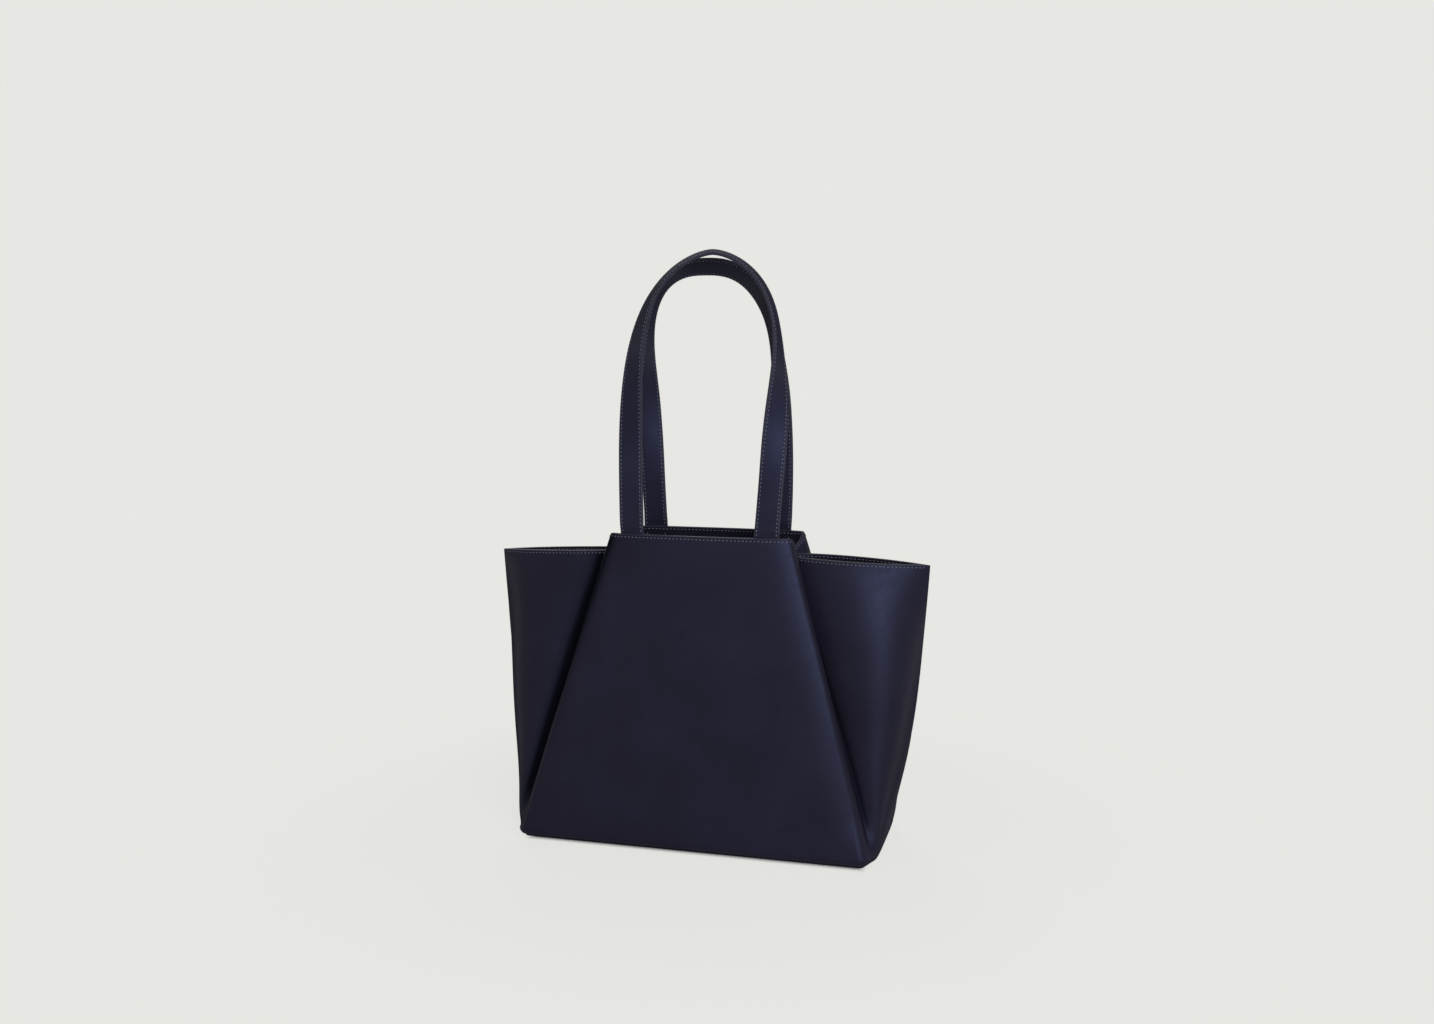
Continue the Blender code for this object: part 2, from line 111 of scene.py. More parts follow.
def newMaterial(name, settings):
    material = bpy.data.materials.new(name)
    material.use_nodes = True
    shader = material.node_tree.nodes["Principled BSDF"]
    for key, value in settings.items():
        shader.inputs[key].default_value = value
    return material, material.node_tree, shader


def followPattern(tree, shader, colours, pattern, relief=None):
    # the colour goes from dark to light with the pattern, and relief is a bump's strength and depth
    colour = addNode(tree, "ShaderNodeMix",
                     {"data_type": "RGBA", 6: fromHex(colours[0]), 7: fromHex(colours[1])}, {0: pattern})
    tree.links.new(colour.outputs[2], shader.inputs["Base Color"])
    if relief:
        bump = addNode(tree, "ShaderNodeBump",
                       {"Strength": relief[0], "Distance": relief[1]}, {"Height": pattern})
        tree.links.new(bump.outputs[0], shader.inputs["Normal"])


def finishPiece(name, build, materials, body, replaced=(), sharp=40):
    # writes the bmesh out as a piece with its place in its mesh
    mesh = bpy.data.meshes.new(name)
    build.to_mesh(mesh)
    build.free()
    for material in materials:
        mesh.materials.append(material)
    mesh.shade_smooth()
    mesh.set_sharp_from_angle(angle=math.radians(sharp))
    piece = bpy.data.objects.new(name, mesh)
    bpy.context.scene.collection.objects.link(piece)
    if body:
        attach(piece, body)
    if replaced:
        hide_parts(*replaced)
    return piece


# Materials

finish = {
    "shell": {"dye": ("#16141C", "#1B1923"), "roughness": 0.43},
    "facing": {"dye": ("#100F15", "#16151C"), "roughness": 0.55},
    "base": {"dye": ("#100F15", "#15141B"), "roughness": 0.58},
    "strap": {"dye": ("#17161F", "#1D1D2A"), "roughness": 0.48},
    "sheen": "#9AABDF",
    "edgePaint": ("#1C1C26", "#242430"),
    "thread": ("#42444F", "#5A5C68"),
    # painted shade of the needle holes, over their dark raw fibres
    "hole": ("#060508", "#0E0D12"),
    "lining": ("#08080A", "#131317"),
    "board": ("#5B5650", "#6E6960"),
    "nickel": "#B8B4AC",
    "grainSize": 0.0011,      # calf pores are 0.5 to 0.8 mm, drawn a little coarser to show
    "creaseSize": 0.006,
    "tintSize": 0.06,
    "paintedPleatDarkening": 0.92,         # painted shade: how much of the colour's lightness is taken away at the bottom of a pleat
    "twillPitch": 0.0010,     # twill lines are 0.5 mm apart, drawn at 1 mm to show
    # counts in a metre: ripples of 3 mm in the paint, torn fibres and thin places in the cloth's yarn,
    # fibres of 2 mm in the board and scuffs of 1 mm on the feet
    "ripples": 350, "tornFibres": 1500, "slubs": 400, "boardFibres": 500, "scuffs": 900,
    "strandScale": 900,       # strands of 0.35 mm in the thread
}


def leather(name, hide, source="Object"):
    # Aniline-dyed calf, pressed smooth: deep navy, a soft blue sheen, pores only in the highlights
    dye, roughness = hide["dye"], hide["roughness"]
    material, tree, shader = newMaterial(name, {
        "Roughness": roughness, "Specular IOR Level": 0.16, "Specular Tint": fromHex(finish["sheen"])})
    place = addNode(tree, "ShaderNodeTexCoord").outputs[source]
    tint = addNode(tree, "ShaderNodeTexNoise",
                   {"Scale": 1 / finish["tintSize"], "Detail": 4.0}, {"Vector": place})
    pores = addNode(tree, "ShaderNodeTexVoronoi",
                    {"Scale": 1 / finish["grainSize"], "Randomness": 1.0}, {"Vector": place})
    creases = addNode(tree, "ShaderNodeTexNoise",
                      {"Scale": 1 / finish["creaseSize"], "Detail": 8.0, "Roughness": 0.65},
                      {"Vector": place})
    blend = addNode(tree, "ShaderNodeMapRange",
                    {"From Min": 0.3, "From Max": 0.7}, {"Value": tint.outputs["Fac"]})
    colour = addNode(tree, "ShaderNodeMix",
                     {"data_type": "RGBA", 6: fromHex(dye[0]), 7: fromHex(dye[1])}, {0: blend.outputs[0]})
    pit = addNode(tree, "ShaderNodeMapRange",
                  {"From Min": 0.0, "From Max": 0.9, "To Min": 1.08, "To Max": 0.9},
                  {"Value": pores.outputs["Distance"]})
    # painted shade: the colour is darkened down in the pleats, where shade falls, and the hide is made dull
    # there too
    paintedPleatShade = addNode(tree, "ShaderNodeAttribute", {"attribute_name": "paintedPleatShade"}).outputs["Fac"]
    paintedShadeFactor = addNode(tree, "ShaderNodeMath",
                   {"operation": "MULTIPLY_ADD", 1: -finish["paintedPleatDarkening"], 2: 1.0}, {0: paintedPleatShade})
    depth = addNode(tree, "ShaderNodeMath",
                    {"operation": "MULTIPLY"}, {0: pit.outputs[0], 1: paintedShadeFactor.outputs[0]})
    shaded = addNode(tree, "ShaderNodeVectorMath", {"operation": "SCALE"},
                     {0: colour.outputs[2], "Scale": depth.outputs[0]})
    tree.links.new(shaded.outputs[0], shader.inputs["Base Color"])
    least, most = roughness - 0.03, roughness + 0.04
    polish = addNode(tree, "ShaderNodeMapRange",
                     {"From Min": 0.35, "From Max": 0.65, "To Min": least, "To Max": most},
                     {"Value": creases.outputs["Fac"]})
    # the fine fibres stand up along the line of sight, so calf is dull at a glancing angle
    glance = addNode(tree, "ShaderNodeLayerWeight", {"Blend": 0.5})
    dull = addNode(tree, "ShaderNodeMapRange", {"From Min": 0.4, "From Max": 0.75, "To Max": 1.0},
                   {"Value": glance.outputs["Facing"], "To Min": polish.outputs[0]})
    rough = addNode(tree, "ShaderNodeMath", {"operation": "MAXIMUM"}, {0: dull.outputs[0], 1: paintedPleatShade})
    tree.links.new(rough.outputs[0], shader.inputs["Roughness"])
    height = addNode(tree, "ShaderNodeMath", {"operation": "MULTIPLY_ADD", 1: 0.6},
                     {0: pores.outputs["Distance"], 2: creases.outputs["Fac"]})
    bump = addNode(tree, "ShaderNodeBump",
                   {"Strength": 0.22, "Distance": 0.0003}, {"Height": height.outputs[0]})
    tree.links.new(bump.outputs[0], shader.inputs["Normal"])
    return material


def paintedEdge():
    # Acrylic edge paint over cut leather: a smooth bead, lighter than the hide
    material, tree, shader = newMaterial("acrylicEdgePaint", {"Roughness": 0.6, "Specular IOR Level": 0.15})
    place = addNode(tree, "ShaderNodeTexCoord").outputs["Object"]
    ripple = addNode(tree, "ShaderNodeTexNoise",
                     {"Scale": finish["ripples"], "Detail": 3.0}, {"Vector": place})
    followPattern(tree, shader, finish["edgePaint"], ripple.outputs["Fac"], (0.15, 0.0002))
    return material


def bondedThread():
    # Bonded polyester thread, twisted: matt, with fine slanting strands
    material, tree, shader = newMaterial("bondedPolyesterThread", {
        "Roughness": 0.6, "Specular IOR Level": 0.3})
    place = addNode(tree, "ShaderNodeTexCoord").outputs["Object"]
    strands = addNode(tree, "ShaderNodeTexWave",
                      {"Scale": finish["strandScale"], "Distortion": 2.0, "bands_direction": "DIAGONAL"},
                      {"Vector": place})
    followPattern(tree, shader, finish["thread"], strands.outputs["Fac"], (0.3, 0.0001))
    return material


def paintedHoleShade():
    # Awl hole in calf, punched: raw fibres, matt, painted near black as the shade down in the hole
    material, tree, shader = newMaterial("needleHolePaintedShade", {
        "Roughness": 0.95, "Specular IOR Level": 0.05})
    place = addNode(tree, "ShaderNodeTexCoord").outputs["Object"]
    fibres = addNode(tree, "ShaderNodeTexNoise",
                     {"Scale": finish["tornFibres"], "Detail": 2.0}, {"Vector": place})
    followPattern(tree, shader, finish["hole"], fibres.outputs["Fac"])
    return material


def twillLining():
    # Cotton twill, woven: black, matt, with slanting ribs that catch a little light
    material, tree, shader = newMaterial(
        "cottonTwill", {"Roughness": 0.85, "Specular IOR Level": 0.15, "Sheen Weight": 0.15})
    place = addNode(tree, "ShaderNodeTexCoord").outputs["UV"]
    turned = addNode(tree, "ShaderNodeMapping", {"Rotation": (0, 0, math.radians(63))}, {"Vector": place})
    waveScale = 1 / math.pi / finish["twillPitch"]      # at this scale a wave repeats once a pitch
    ribs = addNode(tree, "ShaderNodeTexWave",
                   {"Scale": waveScale, "Distortion": 0.6, "Detail": 1.0}, {"Vector": turned.outputs[0]})
    slub = addNode(tree, "ShaderNodeTexNoise", {"Scale": finish["slubs"], "Detail": 3.0}, {"Vector": place})
    weave = addNode(tree, "ShaderNodeMath", {"operation": "MULTIPLY"},
                    {0: ribs.outputs["Fac"], 1: slub.outputs["Fac"]})
    followPattern(tree, shader, finish["lining"], weave.outputs[0], (0.4, 0.0003))
    return material


def pressedBoard():
    # Pressed fibre board: dull grey-brown with short fibres
    material, tree, shader = newMaterial("pressedFibreBoard", {"Roughness": 0.9})
    place = addNode(tree, "ShaderNodeTexCoord").outputs["Object"]
    fibres = addNode(tree, "ShaderNodeTexNoise",
                     {"Scale": finish["boardFibres"], "Detail": 6.0, "Distortion": 1.5}, {"Vector": place})
    followPattern(tree, shader, finish["board"], fibres.outputs["Fac"], (0.3, 0.0003))
    return material


def polishedNickel():
    # Nickel-plated brass, polished: warm grey mirror with faint wear from standing
    material, tree, shader = newMaterial("polishedNickel", {
        "Metallic": 1.0, "Base Color": fromHex(finish["nickel"])})
    place = addNode(tree, "ShaderNodeTexCoord").outputs["Object"]
    scuffs = addNode(tree, "ShaderNodeTexNoise",
                     {"Scale": finish["scuffs"], "Detail": 6.0}, {"Vector": place})
    worn = addNode(tree, "ShaderNodeMapRange",
                   {"From Min": 0.4, "From Max": 0.7, "To Min": 0.14, "To Max": 0.34},
                   {"Value": scuffs.outputs["Fac"]})
    tree.links.new(worn.outputs[0], shader.inputs["Roughness"])
    return material


shellLeather = leather("navyCalfShell", finish["shell"])
facingLeather = leather("navyCalfFacing", finish["facing"])
baseLeather = leather("navyCalfBase", finish["base"])
strapLeather = leather("navyCalfStrap", finish["strap"], "UV")
edgePaint = paintedEdge()
thread = bondedThread()
needleHoleShade = paintedHoleShade()
liningCloth = twillLining()
fibreBoard = pressedBoard()
nickel = polishedNickel()
print("materials made")


# Wall: the section of the bag at each level, which goes from 0 at the base to 1 at the rim.
# A wrap is where a fold's arc ends and a turn is a direction, in degrees from straight sideways.
# A pull is the length of a wing curve's handle. Pairs are given at the base and at the rim.

wall = {
    "rimHeight": 0.300,
    "wallStart": 0.0119,
    "baseHalfWidth": 0.1727, "baseHalfDepth": 0.0761, "cornerRadius": 0.0106, "cornerWrap": -16.7,
    "sideBow": 0.0054, "edgeRadius": 0.006, "lipWidth": 0.004,
    "topHalfWidth": 0.0902, "topHalfDepth": 0.0352, "bow": 0.003,
    "foldRadius": 0.0075, "foldWrap": 55,
    "pleatBase": 0.0015, "pleatRim": 0.014, "valleyLength": 0.0035,
    "tipHalfWidth": 0.215, "belly": 0.00825, "valleyTurn": -25, "tipTurn": 27.5,
    "valleyPull": (0.0119, 0.0293), "tipPull": (0.0657, 0.054),
    "valleyDrop": 0.0185, "tipDrop": 0.024,            # how far the rim dips in the pleat and at the tip
    "seamOverrun": 0.0064, "seamGap": 0.00002,
    "shoulderWidth": (0.038, 0.027), "shoulderDrop": (0.0033, 0.0022),   # soft rounding beside each fold
    "shoulderStart": 0.14,                             # the level at which the rounding has its full drop
    "sag": 0.0008,                                     # slow waves in the hide
    "waves": ((1.0, 13, 2.7, 2.6), (0.5, 30, 5.1, 5)),  # share, count across, seed, count up
    "bulge": {-1: 0.85, 1: 1.1},                       # the left wing is a little flatter than the right
    "rimSlope": 0.005,                                 # the rim falls from this far before the fold's middle
    # painted shade in the pleats: strength, reach at the base and at the rim, and fade
    "paintedPleatShade": {-1: (1.0, (0.009, 0.023), 0.008), 1: (0.75, (0.0035, 0.0035), 0.004)},
    "paintedShadeStart": 0.15,                                 # the level from which the painted shade is at full strength
    "measureLevel": 0.6,                               # lengths across the wall are taken here
    # how fast each part of the section changes from base to rim, as a power of the level
    "pace": {"fold": 3.4, "wrap": 0.975, "wing": 11.39, "tip": 1.252, "sideBow": 13.5, "tipTurn": 3.318,
             "tipPull": 0.238},
    "steps": {"panel": 22, "fold": 16, "pleat": 5, "valley": 8, "wing": 36},
    "panelSpread": 0.8,                                # below 1, columns lie closer by the folds
    "tipShares": [0.985, 0.993, 1.0],                  # the last columns before the seam
    "levels": 46, "levelSpread": 1.25, "levelGap": 0.004,
}
mergeGap = 0.000002      # points closer than this are one
wallHeight = wall["rimHeight"] - wall["wallStart"]


def foldEdge(level):
    radius = mix(wall["foldRadius"], wall["cornerRadius"], (1 - level) ** wall["pace"]["fold"])
    return mix(wall["baseHalfWidth"], wall["topHalfWidth"], level), radius


def shoulder(level):
    # where the soft rounding ends in the fold, its drop there and its slope
    foldX, radius = foldEdge(level)
    width = mix(*wall["shoulderWidth"], level)
    drop = mix(*wall["shoulderDrop"], level) * ease(level / wall["shoulderStart"])
    slope = 3 * drop / width + 2 * wall["bow"] * level / (foldX - radius)
    return foldX - radius * (1 - math.sin(math.atan(slope))), drop, math.atan(slope)


def panelDepth(x, level):
    foldX, radius = foldEdge(level)
    flatX, drop, _ = shoulder(level)
    width = mix(*wall["shoulderWidth"], level)
    near = max(0.0, abs(x) - flatX + width) / width
    bow = wall["bow"] * level * (1 - (x / (foldX - radius)) ** 2)
    return mix(wall["baseHalfDepth"], wall["topHalfDepth"], level) + bow - drop * near ** 3


def sagAt(side, x, level):
    wave = 0
    for share, across, seed, up in wall["waves"]:
        wave += share * noise.noise(Vector((x * across, seed * side, level * up)))
    return wall["sag"] * wave * 4 * level * (1 - level)


def halfOutline(end, level):
    # from the middle of the panel round fold, pleat and valley to the wing's tip, and past the seam
    steps = wall["steps"]
    pace = wall["pace"]
    foldX, radius = foldEdge(level)
    flatX, _, turn = shoulder(level)
    points = []
    for step in range(steps["panel"]):
        x = flatX * (step / steps["panel"]) ** wall["panelSpread"]
        points.append(Vector((x, -panelDepth(x, level))))
    centre = Vector((foldX - radius, radius * math.cos(turn) - panelDepth(flatX, level)))
    wrap = mix(wall["cornerWrap"], wall["foldWrap"], level ** pace["wrap"])
    for step in range(steps["fold"] + 1):
        points.append(centre + radius * heading(mix(math.degrees(turn) - 90, wrap, step / steps["fold"])))
    foldIndex = steps["panel"] + steps["fold"] // 2
    pleat = mix(wall["pleatBase"], wall["pleatRim"], level)
    for step in range(steps["pleat"]):
        points.append(points[-1] + pleat / steps["pleat"] * heading(90 + wrap))
    wingHeading = mix(wall["valleyTurn"], 90 + wall["cornerWrap"], (1 - level) ** pace["wing"])
    valleyIndex = len(points) - 1 + steps["valley"] // 2
    for step in range(steps["valley"]):
        turned = mix(90 + wrap, wingHeading, (step + 0.5) / steps["valley"])
        points.append(points[-1] + wall["valleyLength"] / steps["valley"] * heading(turned))
    start = points[-1]
    tipX = mix(wall["baseHalfWidth"], wall["tipHalfWidth"], 1 - (1 - level) ** pace["tip"])
    tipX += wall["belly"] * 27 / 4 * level * (1 - level) ** 2      # fullest a third of the way up
    tipX += wall["sideBow"] * (1 - level) ** pace["sideBow"]
    tip = Vector((tipX, 0))
    tipHeading = mix(90, wall["tipTurn"], level ** pace["tipTurn"])
    first = start + mix(*wall["valleyPull"], level) * heading(wingHeading)
    second = tip - mix(*wall["tipPull"], level ** pace["tipPull"]) * heading(tipHeading)
    shares = [(step + 1) / steps["wing"] for step in range(steps["wing"])]
    shares[-1:] = wall["tipShares"]
    for share in shares:
        rest = 1 - share
        point = rest ** 3 * start + 3 * rest ** 2 * share * first
        point += 3 * rest * share ** 2 * second + share ** 3 * tip
        point.y *= mix(1, wall["bulge"][end], level ** 2 * math.sin(math.pi * share))
        points.append(point)
    points.append(tip + wall["seamOverrun"] * heading(tipHeading))
    return points, foldIndex, valleyIndex


def rimDropsOf(end):
    points, fold, valley = halfOutline(end, 1)
    reach = runOf(points)
    start = reach[fold] - wall["rimSlope"]
    drops = []
    for index, place in enumerate(reach):
        if index <= valley:
            drops.append(wall["valleyDrop"] * ease((place - start) / (reach[valley] - start)))
        else:
            share = min((place - reach[valley]) / (reach[-2] - reach[valley]), 1)
            drops.append(mix(wall["valleyDrop"], wall["tipDrop"], share))
    return drops


def pleatWays(end):
    # how far each column lies from the bottom of the pleat, with the end that it belongs to
    points, _, valley = halfOutline(end, wall["measureLevel"])
    reach = runOf(points)
    return [(abs(place - reach[valley]), end) for place in reach]


rimDrops = rimDropsOf(-1)[:0:-1] + rimDropsOf(1)
ways = pleatWays(-1)[:0:-1] + pleatWays(1)
columnCount = len(rimDrops)
middleColumn = columnCount // 2
outlines = {}


def paintedPleatShadeAt(column, level):
    # painted shade: how dark the colour is painted at this column and level, strongest at the bottom of a
    # pleat where shade falls
    way, end = ways[column]
    strength, reach, fade = wall["paintedPleatShade"][end]
    depth = math.exp(-(max(0, way - mix(*reach, level)) / fade) ** 2)
    return strength * depth * ease(level / wall["paintedShadeStart"])


def outlineAt(side, level):
    # outer face from the left tip to the right tip, as if in front, with its inward directions
    key = (side, round(level, 5))
    if key not in outlines:
        left = halfOutline(-1, level)[0]
        right = halfOutline(1, level)[0]
        points = [Vector((-p.x, p.y)) for p in left[:0:-1]] + right
        inwards = []
        for index in range(len(points)):
            before = (points[index] - points[max(index - 1, 0)]).normalized()
            after = (points[min(index + 1, len(points) - 1)] - points[index]).normalized()
            before = before if index else after
            after = after if index < len(points) - 1 else before
            along = (before + after).normalized()
            inwards.append(Vector((-along.y, along.x)) / along.dot(before))
        moved = [p - n * sagAt(side, p.x, level) for p, n in zip(points, inwards)]
        outlines[key] = (moved, inwards)
    return outlines[key]


def wallPoint(side, column, level, depth, lift=0.0):
    points, inwards = outlineAt(side, level)
    point = points[column] + inwards[column] * depth
    z = wall["wallStart"] + (wallHeight - rimDrops[column]) * level + lift
    return Vector((point.x, -side * point.y, z))


def panelFace(side, x, z, depth):
    # the panel's y at a depth inside its outer face
    level = min((z - wall["wallStart"]) / wallHeight, 1.0)
    return side * (panelDepth(x, level) + sagAt(side, x, level) - depth)


def panelPoint(side, x, z, depth):
    return Vector((x, panelFace(side, x, z, depth), z))


def wallLevels(low, high):
    spread = [(step / wall["levels"]) ** wall["levelSpread"] for step in range(wall["levels"] + 1)]
    gap = wall["levelGap"]
    return [low] + [level for level in spread if low + gap < level < high - gap] + [high]


def roundedTop(outer, inner, outerRound, innerRound):
    # rows over a rim edge: its outer corner, its top and its inner corner
    rows = [(1, outer, -outerRound * layers["underRound"])]
    for angle in layers["roundAngles"]:
        turned = math.radians(angle)
        rows.append((1, outer + outerRound * (1 - math.cos(turned)), outerRound * (math.sin(turned) - 1)))
    for angle in reversed(layers["roundAngles"]):
        turned = math.radians(angle)
        rows.append((1, inner - innerRound * (1 - math.cos(turned)), innerRound * (math.sin(turned) - 1)))
    return rows


def wallPiece(name, side, profile, painted, materials, replaced, cuts=()):
    # a closed sheet of wall: the profile's rows run up the outside, over the rim and down the inside
    rows = profile + [profile[0]]
    build = bmesh.new()
    uv = build.loops.layers.uv.new("UVMap")
    paintedPleatShade = build.verts.layers.float.new("paintedPleatShade")
    bmesh.ops.create_grid(build, x_segments=columnCount - 1, y_segments=len(rows) - 1, size=1)
    cells = gridCells(build, columnCount - 1, len(rows) - 1)
    lengths = runOf([wallPoint(side, middleColumn, *row) for row in rows])
    reaches = runOf([wallPoint(side, column, wall["measureLevel"], 0) for column in range(columnCount)])
    for face in build.faces:
        face.material_index = 1 if all(cells[vert][1] in painted for vert in face.verts) else 0
        for loop in face.loops:
            column, row = cells[loop.vert]
            loop[uv].uv = (reaches[column], lengths[row])
    for vert, (column, row) in cells.items():
        vert.co = wallPoint(side, column, *rows[row])
        # painted shade in the pleats, kept on each point for the leather's colour and roughness
        vert[paintedPleatShade] = paintedPleatShadeAt(column, rows[row][0])
    bmesh.ops.remove_doubles(build, verts=build.verts, dist=mergeGap)
    everything = build.verts[:] + build.edges[:] + build.faces[:]
    plane = Vector((0, side * wall["seamGap"] / 2, 0))
    bmesh.ops.bisect_plane(build, geom=everything, plane_co=plane, plane_no=(0, -side, 0), clear_outer=True)
    for low, high in cuts:
        for x in (low, high):
            everything = build.verts[:] + build.edges[:] + build.faces[:]
            bmesh.ops.bisect_plane(build, geom=everything, plane_co=(x, 0, 0), plane_no=(1, 0, 0))
        gone = [face for face in build.faces if low < face.calc_center_median().x < high]
        bmesh.ops.delete(build, geom=gone, context="FACES")
    closeUp(build)
    finishPiece(name, build, materials, "bag_body", replaced)


# The layers of each wall, from outside to inside: depths below the shell's outer face

layers = {
    "shell": (0.0, 0.0016),
    "band": (0.00165, 0.00275),
    "facing": (0.0028, 0.0038),
    "lining": (0.0022, 0.0028),
    "facingHeight": 0.038,
    "bandHeight": 0.034,
    "tabHeight": 0.031,
    "clearance": 0.0003,
    "slotPlay": 0.0002,      # the band's notches are this much wider than the strap on each side
    "paintedRim": 0.0011,
    "shellRounds": (0.0008, 0.0001), "bandRounds": (0.0001, 0.0001), "facingRounds": (0.0001, 0.0006),
    "roundAngles": (0, 30, 60, 90),
    "underRound": 1.3,       # a row this many rounds below the top keeps the rounding crisp
    "hemRound": 0.4,         # how far a band's lower edge is rounded, as a share of its thickness
    "turnSteps": 8,
    "rimSeam": 0.0028,       # stitches below the painted edge
    "hemSeam": 0.0026,       # stitches above the facing's lower edge
    "tabSeam": (0.006, 0.029),   # top and bottom of the box of stitches round a strap end, below the rim
}
strapHalf = 0.012
strapMargin = {"front": 0.0046, "rear": 0.0071}   # from the strap to where the panel starts to fold
tabMiddle = 0.0023                                # depth of the middle of the sewn-in strap ends


def shellProfile():
    outer, inner = layers["shell"]
    edge = wall["edgeRadius"]
    lip = edge + wall["lipWidth"]
    steps = layers["turnSteps"]
    rows = [(0, lip, -edge), (0, (lip + edge) / 2, -edge)]
    for step in range(steps):
        angle = math.radians(90 * step / steps)
        rows.append((0, edge * (1 - math.sin(angle)), -edge * math.cos(angle)))
    top = 1 - layers["paintedRim"] / wallHeight
    rows += [(level, outer, 0) for level in wallLevels(0, top)]
    firstPainted = len(rows) - 1
    rows += roundedTop(outer, inner, *layers["shellRounds"])
    lastPainted = len(rows) - 1
    rows += [(level, inner, 0) for level in reversed(wallLevels(0, top))]
    for step in range(1, steps + 1):
        angle = math.radians(90 - 90 * step / steps)
        radius = edge - inner
        rows.append((0, edge - radius * math.sin(angle), -radius * math.cos(angle)))
    rows.append((0, lip, -edge + inner))
    return rows, range(firstPainted, lastPainted + 1)


def bandProfile(depths, low, rounds):
    outer, inner = depths
    top = 1 - layers["paintedRim"] / wallHeight
    levels = wallLevels(low, top)
    rows = [(level, outer, 0) for level in levels]
    firstPainted = len(rows) - 1
    rows += roundedTop(outer, inner, *rounds)
    rows.append((top, inner, 0))
    lastPainted = len(rows) - 1
    rows += [(level, inner, 0) for level in reversed(levels[:-1])]
    middle = (outer + inner) / 2
    rows.append((low, middle, -layers["hemRound"] * (inner - outer)))
    return rows, range(firstPainted, lastPainted + 1)


def liningProfile(low, high):
    outer, inner = layers["lining"]
    levels = wallLevels(low, high)
    return [(level, outer, 0) for level in levels] + [(level, inner, 0) for level in reversed(levels)]


def rootX(margin):
    foldX, radius = foldEdge(1)
    return foldX - radius - margin - strapHalf


for name, side in (("front", -1), ("rear", 1)):
    x = rootX(strapMargin[name])
    rows, painted = shellProfile()
    wallPiece(name + "ShellLeather", side, rows, painted, [shellLeather, edgePaint], [name + "_shell"])
    half = strapHalf + layers["slotPlay"]
    slots = [(end * x - half, end * x + half) for end in (-1, 1)]
    low = 1 - layers["bandHeight"] / wallHeight
    rows, painted = bandProfile(layers["band"], low, layers["bandRounds"])
    wallPiece(name + "RimBand", side, rows, painted, [fibreBoard, edgePaint], [name + "_stiffener"],
              slots)
    low = 1 - layers["facingHeight"] / wallHeight
    rows, painted = bandProfile(layers["facing"], low, layers["facingRounds"])
    wallPiece(name + "FacingLeather", side, rows, painted, [facingLeather, edgePaint], [name + "_facing"])
    high = 1 - (layers["bandHeight"] + layers["clearance"]) / wallHeight
    wallPiece(name + "LiningCloth", side, liningProfile(0, high), (), [liningCloth], [name + "_lining"])
print("walls made")


# Straps: two straps of calf sewn back to back, arched and twisted as they hang.
# Rise is the arch's height and sway its lean to one side, the powers give its outline and draw its waist.
# Lean tips it forwards or back, topTurn and yaw turn the strap at the crown, and shoulderTurn on its way up.
# A twist says where an arm starts and stops turning, as shares of the way from the rim to the crown.

straps = {
    "front": {
        "side": -1, "margin": strapMargin["front"], "rise": 0.2678, "sway": 0.0063,
        "sidePower": 1.63, "topPower": 6.13, "draw": -0.11, "lean": 5.86, "topTurn": 73.0,
        "leftTwist": (0.23, 0.86), "rightTwist": (0.14, 0.68), "shoulderTurn": (0, 0), "yaw": 15.1,
    },
    "rear": {
        "side": 1, "margin": strapMargin["rear"], "rise": 0.2554, "sway": -0.0094,
        "sidePower": 2.517, "topPower": 5.548, "draw": -0.081, "lean": 1.49, "topTurn": 50.2,
        "leftTwist": (0.376, 0.838), "rightTwist": (0.4, 0.747), "shoulderTurn": (47.2, 32.0), "yaw": 19.4,
    },
}
strapCut = {
    "halfThickness": 0.0015, "tabHalfThickness": 0.00045,
    "swell": 0.007,        # the skived ends grow to full thickness over this length
    "crown": 0.0002, "seamInset": 0.0028, "grooveDepth": 0.0002, "grooveWidth": 0.000375,
    "grooveSteps": (-0.0012, -0.0007, -0.0004, -0.0002, 0, 0.0002, 0.0004, 0.0007, 0.0012),
    "faceSteps": (-0.005, -0.0025, 0, 0.0025, 0.005),
    "edgeDepth": 0.9, "edgeHeight": 0.98,     # the painted edge's bulge, as shares of the half thickness
    "edgeAngles": (80, 55, 28, 0, -28, -55, -80),
    "follow": 0.014,       # the strap lies to the panel's curve for this far above the rim
    "bend": 0.012,
    "standOff": 0.0006,    # its free length starts this far above the rim
    "tabDrops": (0.0006, 0.004, 0.009, 0.015, 0.021, 0.027),   # rows of the sewn-in end, below the start
    "shoulderAt": 0.55, "shoulderReach": 0.45,     # where an arm turns most, and how far that spreads
    "turnIn": 4,           # half widths over which the strap turns to the arch's inside
    "archSteps": 400, "stations": 210, "rootStep": 0.0008,
}


def strapArch(strap):
    across = []
    up = []
    halfSpan = rootX(strap["margin"]) / (1 + strap["draw"])
    for step in range(strapCut["archSteps"] + 1):
        angle = math.pi * ease(step / strapCut["archSteps"])
        cosine = math.cos(angle)
        out = math.copysign(abs(cosine) ** (2 / strap["sidePower"]), -cosine)
        height = abs(math.sin(angle)) ** (2 / strap["topPower"])
        draw = 1 + strap["draw"] * (1 - height) ** 2
        across.append(halfSpan * out * draw + strap["sway"] * height ** 2)
        up.append(strap["rise"] * height)
    along = np.concatenate([[0], np.cumsum(np.hypot(np.diff(across), np.diff(up)))])
    # close together by the rim, where the strap bends from the panel into its arch
    root = np.arange(0, strapCut["follow"], strapCut["rootStep"])
    free = np.linspace(strapCut["follow"], along[-1] - strapCut["follow"], strapCut["stations"] + 1)
    even = np.concatenate([root, free, along[-1] - root[::-1]])
    return even, np.interp(even, along, across), np.interp(even, along, up)


def rootDepth(strap, x, z):
    return panelFace(strap["side"], x, z, tabMiddle)


